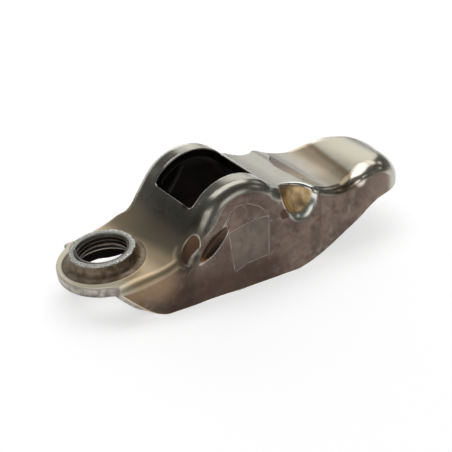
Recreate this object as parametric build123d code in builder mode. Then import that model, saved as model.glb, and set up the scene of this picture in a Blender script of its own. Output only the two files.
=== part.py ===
"""Pressed steel rocker arm, one piece of sheet, in millimetres.

It stands on the two straight rims of its channel, with +X towards the valve pad and +Z up.
Profile points are measured from the fulcrum axis, which runs along Y through the middle of the hump.
"""

import os
from math import acos, cos, degrees, radians, sin

from build123d import *

# Sheet, and the tapped hole for the adjusting screw, M10 x 0.75
SHEET = 2.0
THREAD_DIAMETER = 10.0
THREAD_PITCH = 0.75

# Fulcrum hump: a half barrel across the arm, with a window for the stud
HUMP_RADIUS = 9.8
HUMP_HALF_WIDTH = 11.4
HUMP_EDGE_RADIUS = 2.8
WINDOW_HALF_WIDTH = 6.3
WINDOW_START_ANGLE = 50
WINDOW_END_ANGLE = 149.5
WINDOW_CORNER_RADIUS = 1.2

# Threaded collar, leaning back from the hump, and the round lip about it
COLLAR_REACH = 23.4
COLLAR_DROP = 1.1
COLLAR_LEAN = 8.2
COLLAR_RADIUS = 6.1
COLLAR_HEIGHT = 2.6
COLLAR_FOOT_RADIUS = 1.0
COLLAR_MOUTH = 0.4
LIP_RADIUS = 9.8
LIP_SHIFT = 1.1
EAR_SETBACK = 2.2

# Channel walls: half widths at the rims, how far they lean in over their height, and the nose
RIM_DROP = 11.2
EAR_HALF_WIDTH = 12.05
BELLY_HALF_WIDTH = 12.3
SADDLE_HALF_WIDTH = 11.0
NOSE_HALF_WIDTH = 10.1
FRONT_WALL_LEAN = 10.8
BACK_WALL_LEAN = 4.0
NOSE_REACH = 41.7
NOSE_CORNER_RADIUS = 8.3
NOSE_FLAT_HALF_WIDTH = 0.1
NOSE_ROLL_RADIUS = 4.0
NOSE_ROLL_OVERHANG = 0.25
FRONT_SHOULDER_RADIUS = 2.0
BACK_SHOULDER_RADIUS = 1.6

# Web from the lip up to the hump, and from the hump down over the flat and the saddle
SWEEP_RUN = 7.0
SWEEP_HUMP_ANGLE = 163
FLAT_HUMP_ANGLE = 39
FLAT_START = (HUMP_RADIUS + 2.7, 4.8)
FLAT_END = (HUMP_RADIUS + 6.2, 4.3)
SADDLE = (24.0, 2.3)

# Valve pad: a convex strip that stands proud of the web about it
PAD_SETBACK = 8.7
PAD_TOP = 4.0
PAD_RADIUS = 13.0
PAD_HALF_WIDTH = 6.4
PAD_RISE = 0.6
PAD_LEAD_ANGLE = 104
PAD_STRIP_ANGLE = 125
PAD_EDGE_RADIUS = 0.5

# Crescent step between the flat and the saddle
STEP_RADIUS = 8.9
STEP_SETBACK = 0.5
STEP_LEAN = 8.0
STEP_DEPTH = 0.95

# Scoops pressed into the corners of the web beside the hump
BACK_SCOOP_RADIUS = 4.3
BACK_SCOOP_GAP = 3.0
BACK_SCOOP_HEIGHT = 3.5
FRONT_SCOOP_RADIUS = 2.3
FRONT_SCOOP_GAP = 1.4
FRONT_SCOOP_HEIGHT = -0.8

# Lower edge of the walls: corners of the straight rims, and the straight lower edge of the nose
RIM_FRONT = 19.0
RIM_BACK = 14.2
NOSE_EDGE_START = 33.6
NOSE_EDGE_DROP = 2.3
FRONT_CORNER_RADIUS = 8.0
BACK_CORNER_RADIUS = 14.0
NOSE_EDGE_RADIUS = 8.0

CLEAR = 20.0
ON_FOOT = (Align.CENTER, Align.CENTER, Align.MIN)
TAPPED_RADIUS = (THREAD_DIAMETER - 1.0825 * THREAD_PITCH) / 2
LEAN_X = cos(radians(COLLAR_LEAN))
LEAN_Z = sin(radians(COLLAR_LEAN))
LIP_REACH = COLLAR_REACH + (LIP_RADIUS - LIP_SHIFT) * LEAN_X - COLLAR_HEIGHT * LEAN_Z
EAR_X = -COLLAR_REACH - EAR_SETBACK
PAD_X = NOSE_REACH - PAD_SETBACK
FULCRUM_X = (LIP_REACH - NOSE_REACH) / 2

FULCRUM = Vector(FULCRUM_X, 0, RIM_DROP)
SIDE = Plane(origin=FULCRUM, x_dir=(1, 0, 0), z_dir=(0, -1, 0))
LEVEL = Plane(origin=FULCRUM)
COLLAR = Plane(
    origin=FULCRUM + Vector(-COLLAR_REACH, 0, -COLLAR_DROP),
    x_dir=(LEAN_X, 0, LEAN_Z),
    z_dir=(-LEAN_Z, 0, LEAN_X),
)


def on_hump(angle, inset=0):
    """The point of the hump's outline, drawn in by inset, at an angle from +X."""
    radius = HUMP_RADIUS - inset
    return (radius * cos(radians(angle)), radius * sin(radians(angle)))


def lip_face(x, depth=0):
    """The point at x of the lip's upper face, or of the plane at a depth below it."""
    return (x, -COLLAR_DROP + ((x + COLLAR_REACH) * LEAN_Z - COLLAR_HEIGHT - depth) / LEAN_X)


def crown(inset, lead_angle):
    """Draws the valve end's convex line from behind the pad, over it and down round the nose."""
    pad_radius = PAD_RADIUS - PAD_RISE - inset
    roll_radius = NOSE_ROLL_RADIUS - inset
    pad_centre = (PAD_X, PAD_TOP - PAD_RADIUS)
    roll_x = NOSE_REACH + NOSE_ROLL_OVERHANG - NOSE_ROLL_RADIUS
    roll_angle = degrees(acos((roll_x - PAD_X) / (pad_radius - roll_radius)))
    roll_centre = (roll_x, pad_centre[1] + (pad_radius - roll_radius) * sin(radians(roll_angle)))
    over_pad = CenterArc(pad_centre, pad_radius, lead_angle, roll_angle - lead_angle)
    round_nose = CenterArc(roll_centre, roll_radius, roll_angle, -roll_angle)
    return over_pad @ 0, over_pad % 0, round_nose @ 1


def side_outline(inset):
    """The channel from the side, closed below the rims, with its upper edge drawn in by inset."""
    tail = lip_face(-LIP_REACH - CLEAR, inset)
    bend = lip_face(-HUMP_RADIUS - SWEEP_RUN, inset)
    front_corner = on_hump(SWEEP_HUMP_ANGLE, inset)
    back_corner = on_hump(FLAT_HUMP_ANGLE, inset)
    saddle_points = [(x, z - inset) for x, z in (FLAT_START, FLAT_END, SADDLE)]
    floor = -RIM_DROP - CLEAR
    with BuildSketch(SIDE.offset(-2 * CLEAR)) as outline:
        with BuildLine():
            Line(tail, bend)
            TangentArc(bend, front_corner, tangent=(LEAN_X, LEAN_Z))
            Polyline(front_corner, (0, back_corner[1] / 2), back_corner)
            pad_start, pad_slope, nose_end = crown(inset, PAD_LEAD_ANGLE)
            fall = Vector(saddle_points[0]) - Vector(back_corner)
            Spline(back_corner, *saddle_points, pad_start, tangents=[fall, pad_slope])
            Polyline(nose_end, (nose_end.X, floor), (tail[0], floor), tail)
        make_face()
    return outline.sketch


def plan_outline(height, inset):
    """The channel from above at a height from the fulcrum axis, open-ended past the lip."""
    rise = height + RIM_DROP
    front_loss = rise * sin(radians(FRONT_WALL_LEAN)) + inset
    back_loss = rise * sin(radians(BACK_WALL_LEAN)) + inset
    nose_x = NOSE_REACH - inset
    nose_half_width = NOSE_HALF_WIDTH - back_loss
    corner_radius = min(NOSE_CORNER_RADIUS - inset, nose_half_width - NOSE_FLAT_HALF_WIDTH)
    tail = (-LIP_REACH - CLEAR, EAR_HALF_WIDTH - front_loss)
    ear = (EAR_X, EAR_HALF_WIDTH - front_loss)
    belly = (0, BELLY_HALF_WIDTH - back_loss)
    saddle = (SADDLE[0], SADDLE_HALF_WIDTH - back_loss)
    nose_side = (nose_x - corner_radius, nose_half_width)
    nose_front = (nose_x, nose_half_width - corner_radius)
    with BuildSketch(LEVEL.offset(height)) as outline:
        with BuildLine():
            Line((tail[0], 0), tail)
            Line(tail, ear)
            Spline(ear, belly, saddle, nose_side, tangents=[(1, 0), (1, 0)])
            TangentArc(nose_side, nose_front, tangent=(1, 0))
            Line(nose_front, (nose_x, 0))
            mirror(about=Plane.XZ)
        make_face()
    return outline.sketch


def shoulders(block, start, stop):
    """The edges between web and walls whose middles lie from start to stop, from the fulcrum axis."""
    lowest_web = FULCRUM.Z - COLLAR_DROP - COLLAR_HEIGHT - SHEET
    return (
        block.edges()
        .filter_by_position(Axis.X, FULCRUM.X + start, FULCRUM.X + stop)
        .filter_by_position(Axis.Z, lowest_web, FULCRUM.Z + HUMP_RADIUS)
        .filter_by(Axis.Y, reverse=True)
    )


def channel(inset):
    """The channel as a solid block, with its shoulders rounded, drawn in by inset."""
    front_corner = on_hump(SWEEP_HUMP_ANGLE, inset)[0]
    back_corner = on_hump(FLAT_HUMP_ANGLE, inset)[0]
    front_radius = FRONT_SHOULDER_RADIUS - inset
    back_radius = BACK_SHOULDER_RADIUS - inset
    below_rims = plan_outline(-RIM_DROP - SHEET, inset)
    above_web = plan_outline(HUMP_RADIUS, inset)
    with BuildPart() as block:
        extrude(side_outline(inset), amount=4 * CLEAR)
        loft([below_rims, above_web], mode=Mode.INTERSECT)
        if front_radius > 0:
            fillet(shoulders(block, EAR_X, front_corner), front_radius)
        if back_radius > 0:
            fillet(shoulders(block, back_corner, NOSE_REACH), back_radius)
    return block.part


def pad_strip(inset):
    """The valve pad's convex strip, drawn in by inset, with its long edges rounded."""
    half_width = PAD_HALF_WIDTH - inset
    with BuildSketch(SIDE.offset(-half_width)) as profile:
        with BuildLine():
            start, _, end = crown(inset - PAD_RISE, PAD_STRIP_ANGLE)
            Polyline(end, (end.X, -NOSE_EDGE_DROP - SHEET), (start.X, -NOSE_EDGE_DROP - SHEET), start)
        make_face()
    with BuildPart() as strip:
        extrude(profile.sketch, amount=2 * half_width)
        fillet(strip.edges().filter_by(GeomType.CIRCLE), PAD_EDGE_RADIUS)
        extrude(plan_outline(-RIM_DROP, inset), amount=2 * CLEAR, mode=Mode.INTERSECT)
    return strip.part


def hump(inset):
    """The half barrel over the fulcrum, drawn in by inset. Its lower half lies inside the channel."""
    edge_radius = HUMP_EDGE_RADIUS - inset
    with BuildPart(SIDE) as barrel:
        Cylinder(HUMP_RADIUS - inset, 2 * (HUMP_HALF_WIDTH - inset))
        if edge_radius > 0:
            fillet(barrel.edges().filter_by(GeomType.CIRCLE), edge_radius)
    return barrel.part


def step_cutter(inset):
    """A disc that leans back, so that only the front of its lower rim sinks into the flat."""
    corner = FULCRUM + Vector(FLAT_END[0] - STEP_SETBACK, 0, FLAT_END[1] - STEP_DEPTH)
    lean = radians(STEP_LEAN)
    leaning = Plane(origin=corner, x_dir=(cos(lean), 0, sin(lean)), z_dir=(-sin(lean), 0, cos(lean)))
    with BuildPart(leaning) as cutter:
        with Locations((-inset, 0, -inset)):
            Cylinder(STEP_RADIUS + inset, CLEAR, align=(Align.MIN, Align.CENTER, Align.MIN))
    return cutter.part


def form(inset):
    """The whole pressed form as a solid, without its openings, drawn in by inset."""
    back_scoop = (HUMP_RADIUS + BACK_SCOOP_GAP, BACK_SCOOP_HEIGHT, BACK_SCOOP_RADIUS)
    front_scoop = (-HUMP_RADIUS - FRONT_SCOOP_GAP, FRONT_SCOOP_HEIGHT, FRONT_SCOOP_RADIUS)
    with BuildPart() as solid:
        add(channel(inset))
        add(step_cutter(inset), mode=Mode.SUBTRACT)
        for x, z, radius in (back_scoop, front_scoop):
            for side in (-1, 1):
                with Locations(FULCRUM + Vector(x, side * HUMP_HALF_WIDTH, z)):
                    Sphere(radius + inset, rotation=(90, 0, 0), mode=Mode.SUBTRACT)
        add(pad_strip(inset))
        add(hump(inset))
    return solid.part


def trimmings():
    """All that is cut off the pressed form: what lies in front of the ears and below the rims."""
    tail = -LIP_REACH - CLEAR
    front = NOSE_REACH + CLEAR
    floor = -RIM_DROP - CLEAR
    ear = lip_face(EAR_X, SHEET)
    with BuildSketch(SIDE.offset(-2 * CLEAR)) as outline:
        with BuildLine():
            FilletPolyline(
                ear,
                (-RIM_FRONT, -RIM_DROP),
                (RIM_BACK, -RIM_DROP),
                (NOSE_EDGE_START, -NOSE_EDGE_DROP),
                (front, -NOSE_EDGE_DROP),
                radius=[FRONT_CORNER_RADIUS, BACK_CORNER_RADIUS, NOSE_EDGE_RADIUS],
            )
            Polyline((front, -NOSE_EDGE_DROP), (front, floor), (tail, floor))
            Polyline((tail, floor), (tail, CLEAR), (EAR_X, CLEAR), ear)
        make_face()
    with BuildPart() as cutter:
        extrude(outline.sketch, amount=4 * CLEAR)
    return cutter.part


def window():
    """The stud's window: a wedge that widens from the fulcrum axis, with rounded corners."""
    sides = [on_hump(angle, -CLEAR) for angle in (WINDOW_START_ANGLE, WINDOW_END_ANGLE)]
    with BuildSketch(SIDE.offset(-WINDOW_HALF_WIDTH)) as wedge:
        with BuildLine():
            Polyline((0, 0), sides[0], (sides[0][0], 2 * CLEAR), (sides[1][0], 2 * CLEAR))
            Polyline((sides[1][0], 2 * CLEAR), sides[1], (0, 0))
        make_face()
    with BuildPart() as cutter:
        extrude(wedge.sketch, amount=2 * WINDOW_HALF_WIDTH)
        fillet(cutter.edges().filter_by(Plane.XZ).sort_by(Axis.Z)[:4], WINDOW_CORNER_RADIUS)
    return cutter.part


def collar():
    """The threaded collar without its hole, turned about its own axis, with a rounded foot."""
    foot = COLLAR_RADIUS + COLLAR_FOOT_RADIUS
    shoulder = -COLLAR_HEIGHT + COLLAR_FOOT_RADIUS
    base = -COLLAR_HEIGHT - SHEET / 2
    profile_plane = Plane(origin=COLLAR.origin, x_dir=COLLAR.x_dir, z_dir=(0, -1, 0))
    with BuildSketch(profile_plane) as profile:
        with BuildLine():
            Polyline((0, base), (0, 0), (COLLAR_RADIUS, 0), (COLLAR_RADIUS, shoulder))
            RadiusArc((COLLAR_RADIUS, shoulder), (foot, -COLLAR_HEIGHT), -COLLAR_FOOT_RADIUS)
            Polyline((foot, -COLLAR_HEIGHT), (foot, base), (0, base))
        make_face()
    with BuildPart() as turned:
        revolve(profile.sketch, axis=Axis(COLLAR.origin, COLLAR.z_dir))
    return turned.part


def lip():
    """The round end of the sheet about the collar, up to the ears."""
    overlap = EAR_SETBACK - SHEET / 2
    with BuildSketch(COLLAR.offset(-COLLAR_HEIGHT)) as outline:
        with Locations((LIP_SHIFT, 0)):
            Circle(LIP_RADIUS)
        with Locations((-overlap, 0)):
            Rectangle(CLEAR, 2 * CLEAR, align=(Align.MAX, Align.CENTER), mode=Mode.INTERSECT)
    with BuildPart() as plate:
        extrude(outline.sketch, amount=-SHEET)
    return plate.part


def main():
    """Presses, trims and pierces the sheet, and writes the finished arm."""
    os.makedirs("parts", exist_ok=True)
    outer_form = form(0)
    inner_form = form(SHEET)
    with BuildPart() as rocker_arm:
        add(outer_form)
        add(inner_form, mode=Mode.SUBTRACT)
        add(trimmings(), mode=Mode.SUBTRACT)
        add(window(), mode=Mode.SUBTRACT)
        add(lip())
        add(collar())
        with Locations(COLLAR):
            Cylinder(TAPPED_RADIUS, CLEAR, mode=Mode.SUBTRACT)
        with Locations(COLLAR.offset(-COLLAR_MOUTH)):
            mouth = TAPPED_RADIUS + 2 * COLLAR_MOUTH
            Cone(TAPPED_RADIUS, mouth, 2 * COLLAR_MOUTH, align=ON_FOOT, mode=Mode.SUBTRACT)
    rocker_arm.part.label = "rocker_arm"
    export_step(rocker_arm.part, "parts/rocker_arm.step")


if __name__ == "__main__":
    main()
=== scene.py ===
"""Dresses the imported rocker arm: its pressed sheet, threaded collar, finishes and stage.

Shapes are worked out in millimetres from the fulcrum axis, with +X towards the valve pad and +Z up.
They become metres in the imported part's own frame when their meshes are made.
"""

from functools import partialmethod
from math import cos, pi, radians, sin, tau
from typing import NamedTuple

import bpy
import numpy as np
from bpy.props import FloatProperty, FloatVectorProperty, IntProperty, PointerProperty
from mathutils import Matrix, Vector


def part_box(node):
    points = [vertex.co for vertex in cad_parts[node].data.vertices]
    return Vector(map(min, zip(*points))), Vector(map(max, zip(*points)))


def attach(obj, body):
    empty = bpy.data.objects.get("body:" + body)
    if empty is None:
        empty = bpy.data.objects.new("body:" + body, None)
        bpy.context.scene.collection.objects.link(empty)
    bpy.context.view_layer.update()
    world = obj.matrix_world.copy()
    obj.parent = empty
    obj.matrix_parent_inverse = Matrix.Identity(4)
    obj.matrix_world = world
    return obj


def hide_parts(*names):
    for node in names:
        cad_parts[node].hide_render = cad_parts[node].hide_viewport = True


bl_info = {
    "name": "Pressed Rocker Arm",
    "version": (1, 0, 0),
    "blender": (4, 5, 0),
    "location": "View3D > Sidebar > Rocker Arm",
    "description": "Makes a pressed steel rocker arm with its threaded collar, finishes and stage",
    "category": "Add Mesh",
}

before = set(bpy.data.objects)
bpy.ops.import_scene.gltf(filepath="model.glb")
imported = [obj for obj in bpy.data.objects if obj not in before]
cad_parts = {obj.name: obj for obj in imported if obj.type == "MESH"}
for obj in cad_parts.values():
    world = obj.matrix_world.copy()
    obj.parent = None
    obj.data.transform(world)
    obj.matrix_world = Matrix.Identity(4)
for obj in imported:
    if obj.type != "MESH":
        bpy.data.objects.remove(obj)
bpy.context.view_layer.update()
NODE = "rocker_arm"
BODY = "root"
MM = 0.001

NOSE_REACH = 41.7
RIM_DROP = 11.2
EAR_REACH = 25.6
LOWEST, HIGHEST = (np.array(corner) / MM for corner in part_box(NODE))
FULCRUM = np.array((HIGHEST[0] - NOSE_REACH, 0.0, LOWEST[2] + RIM_DROP))


# Fields of distance, in millimetres


def ease(value, start, stop):
    """Goes smoothly from 0 at start to 1 at stop, whichever of them is the lower."""
    share = np.clip((value - start) / (stop - start), 0, 1)
    return share * share * (3 - 2 * share)


def near_side(y):
    """1 on the side of the arm towards -Y and 0 on the other, with a smooth change between."""
    return ease(y, 2, -2)


def join(a, b, radius):
    """What lies in either of two forms, with a fillet between them."""
    corner = np.hypot(np.maximum(radius - a, 0), np.maximum(radius - b, 0))
    return np.maximum(radius, np.minimum(a, b)) - corner


def meet(a, b, radius):
    """What lies in both of two forms, with the edge between them rounded."""
    return -join(-a, -b, radius)


class SmoothLine:
    """A smooth line through knots, as a height over a reach."""

    SEARCH_STEP = 1.5
    SEARCH_ROUNDS = 5
    LEAST_STIFFNESS = 0.5

    def __init__(self, *knots):
        self.reach, self.height = np.array(knots, float).T
        self.step = np.diff(self.reach)
        size = len(knots)
        matrix = np.eye(size)
        right = np.zeros(size)
        slopes = np.diff(self.height) / self.step
        for i in range(1, size - 1):
            before, after = self.step[i - 1], self.step[i]
            matrix[i, i - 1 : i + 2] = before, 2 * (before + after), after
            right[i] = 6 * (slopes[i] - slopes[i - 1])
        self.bend = np.linalg.solve(matrix, right)

    def at(self, reach):
        """The line's height, slope and bend at a reach. It is level past its ends."""
        inside = np.clip(reach, self.reach[0], self.reach[-1])
        i = np.clip(np.searchsorted(self.reach, inside) - 1, 0, len(self.step) - 1)
        step = self.step[i]
        left = (self.reach[i + 1] - inside) / step
        right = 1 - left
        low, high = self.bend[i], self.bend[i + 1]
        height = left * self.height[i] + right * self.height[i + 1]
        height = height + ((left**3 - left) * low + (right**3 - right) * high) * step**2 / 6
        slope = (self.height[i + 1] - self.height[i]) / step
        slope = slope + ((1 - 3 * left**2) * low + (3 * right**2 - 1) * high) * step / 6
        level = inside != reach
        return height, np.where(level, 0, slope), np.where(level, 0, left * low + right * high)

    def distance(self, reach, height):
        """The distance to the line, below 0 under it."""
        reach, height = np.broadcast_arrays(reach, height)
        nearest = np.full(reach.shape, np.inf)
        foot = np.array(reach, float)
        for start in np.arange(self.reach[0], self.reach[-1] + 1, self.SEARCH_STEP):
            apart = (reach - start) ** 2 + (height - self.at(start)[0]) ** 2
            foot = np.where(apart < nearest, start, foot)
            nearest = np.minimum(nearest, apart)
        for _ in range(self.SEARCH_ROUNDS):
            level, slope, bend = self.at(foot)
            pull = (foot - reach) + (level - height) * slope
            stiffness = 1 + slope**2 + (level - height) * bend
            foot = foot - np.clip(pull / np.maximum(stiffness, self.LEAST_STIFFNESS), -1, 1)
        apart = np.hypot(reach - foot, height - self.at(foot)[0])
        return np.where(height > self.at(reach)[0], apart, -apart)


# Lines of the pressing: the web from the side, the walls from above, the shoulders' radius,
# the rim from the side, and how far out the facets trim the saddle and the pad
WEB = SmoothLine(
    (-36, -5.55), (-30, -4.68), (-23.4, -3.73), (-19, -3.05), (-16.8, -2.6), (-14.5, -1.75),
    (-12, -0.15), (-8, 3.5), (-2, 6.4), (4, 6.6), (9, 5.6), (12.5, 4.8), (16, 4.3), (19, 3.2),
    (23, 2.35), (27, 2.55), (31, 3.2), (35, 3.2), (39, 2), (42, 0.2), (45, -3),
)  # fmt: skip
WALL = SmoothLine(
    (-36, 12.1), (-27, 12), (-20, 12.15), (-12, 12.18), (-4, 12.18), (6, 12.12), (14, 11.9),
    (20, 11.35), (26, 10.7), (32, 10.2), (37, 9.9), (45, 9.8),
)  # fmt: skip
SHOULDER = SmoothLine(
    (-36, 0.4), (-28, 0.4), (-25.6, 1.2), (-22.5, 1.8), (-18, 1.7), (-14, 1.6), (-8, 2.2), (0, 3),
    (12, 1.6), (18, 1.5), (22, 1.9), (27, 2.8), (30, 3.3), (34, 3.2), (40, 2.6), (45, 2.6),
)  # fmt: skip
RIM = SmoothLine(
    (-30, -2.6), (-27, -3.2), (-25.6, -4.3), (-24.5, -5.5), (-22.6, -7.5), (-20.8, -9.3),
    (-19, -10.5), (-16, -11.3), (-12, -11.3), (-8, -11.05), (-3, -11.1), (2, -11.5), (9, -11.6),
    (12.5, -11.2), (16, -10.4), (20, -9.1), (24.6, -7.2), (28, -5.75), (30.8, -4.2), (33, -3.2),
    (37, -2.6), (46, -2.4),
)  # fmt: skip
PAD_TRIM = SmoothLine(
    (14, 12.5), (17, 10.2), (19.3, 9.6), (21.2, 10.1), (23.7, 10.4), (26.4, 9), (29.3, 7.2),
    (31.9, 6.15), (33.6, 5.6), (37, 5.1), (40, 4.4), (43, 3.9),
)  # fmt: skip


def patch_distance(corners, x, z):
    """The distance to the outline of a patch on the wall, below 0 inside it."""
    nearest = np.full(np.broadcast(x, z).shape, np.inf)
    inside = np.zeros(nearest.shape, bool)
    for (x0, z0), (x1, z1) in zip(corners, corners[1:] + corners[:1]):
        length, rise = x1 - x0, z1 - z0
        along = ((x - x0) * length + (z - z0) * rise) / (length**2 + rise**2)
        along = np.clip(along, 0, 1)
        nearest = np.minimum(nearest, np.hypot(x - x0 - along * length, z - z0 - along * rise))
        if rise:
            inside ^= ((z0 > z) != (z1 > z)) & (x < x0 + (z - z0) * length / rise)
    return np.where(inside, -nearest, nearest)


# Hairlines that the punch leaves on each wall: over the fulcrum, and about its flat tip
ARCH_SCORE = [
    (-3.75, 1.16), (-4.35, 3.19), (-3.27, 5.08), (-1.77, 5.95), (0.4, 5.83), (2.83, 4.73),
    (4.4, 3.26), (5.1, 2.04), (5.09, -5.83), (0.24, -6.08), (-2.7, -7.03), (-3.31, -2.46),
]  # fmt: skip
TIP_SCORE = [
    (-3.75, 1.16), (-1.15, 1.8), (2.14, 2.26), (4.36, 2.22), (5.1, 2.04), (5.09, -5.83),
    (0.24, -6.08), (-2.7, -7.03), (-3.31, -2.46),
]  # fmt: skip


class Collar:
    """The collar's sizes, with heights and radii about its leaning axis from its top."""

    REACH, DROP, LEAN = 23.4, 1.1, radians(8.2)
    HEIGHT, RADIUS, FOOT_RADIUS, FOOT_FILLET = 2.6, 6, 7, 1.5
    TOP_TRIM, TOP_RADIUS = 0.12, 7.5
    RING, RING_HEIGHTS, RING_RISE = (7.3, 8), (-HEIGHT - 1.2, -HEIGHT - 0.6), 0.12
    BORE, BORE_EDGE = 5, 0.15
    FLARE, FLARE_TOP, FLARE_DEPTH, FLARE_END = 2.2, 2.9, 1.9, 1.2
    THREAD_TOP, THREAD_SINK = 0.15, 0.05

    @classmethod
    def around(cls, x, y, z):
        """Height above the collar's top, reach towards the hump, and radius from its axis."""
        x, z = x + cls.REACH, z + cls.DROP
        height = z * cos(cls.LEAN) - x * sin(cls.LEAN)
        reach = x * cos(cls.LEAN) + z * sin(cls.LEAN)
        return height, reach, np.hypot(reach, y)

    @classmethod
    def placement(cls):
        """Takes millimetres about the collar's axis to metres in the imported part's frame."""
        top = Vector(FULCRUM) + Vector((-cls.REACH, 0, -cls.DROP))
        return Matrix.Scale(MM, 4) @ Matrix.Translation(top) @ Matrix.Rotation(-cls.LEAN, 4, "Y")


class Hollow(NamedTuple):
    """A pair of egg-shaped hollows, one on each side, turned by degrees from X towards Z."""

    middle: tuple
    reach: tuple
    turn: float
    far_shift: float
    rim: tuple
    towards: tuple
    between: tuple

    def distance(self, x, y, z):
        """Distance to the nearer hollow, roughly. The far one sits further out by its shift."""
        x, z, turn = x - self.middle[0], z - self.middle[2], radians(self.turn)
        along = x * cos(turn) + z * sin(turn)
        above = z * cos(turn) - x * sin(turn)
        across = np.abs(y) - self.far_shift * (y > 0) - self.middle[1]
        shares = zip((along, across, above), self.reach)
        egg = np.sqrt(sum((value / reach) ** 2 for value, reach in shares))
        return (egg - 1) * min(self.reach)

    def sink(self, form, x, y, z):
        """Sinks the hollows into a form. Their rim goes from crisp to soft along a direction."""
        crisp, soft = self.rim
        along = self.towards[0] * x + self.towards[1] * z
        rim = crisp + (soft - crisp) * ease(along, *self.between)
        return meet(form, -self.distance(x, y, z), rim)


BACK_SCOOP = Hollow(
    middle=(12.5, 11.9, 4.5), reach=(5, 4.7, 3.8), turn=112, far_shift=1.2,
    rim=(0.5, 1.4), towards=(0.6, -1), between=(2.5, 8),
)  # fmt: skip
FRONT_SCOOP = Hollow(
    middle=(-11.4, 10.9, 0.1), reach=(3.1, 2, 1.7), turn=76, far_shift=1.4,
    rim=(0.3, 1.5), towards=(-1, 0.45), between=(10.8, 12.4),
)  # fmt: skip
CREASE = Hollow(
    middle=(-7, 12.45, -0.35), reach=(4.4, 1.75, 1.25), turn=43, far_shift=0,
    rim=(0.2, 1.6), towards=(-1, 1), between=(6.9, 8.3),
)  # fmt: skip


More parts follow.
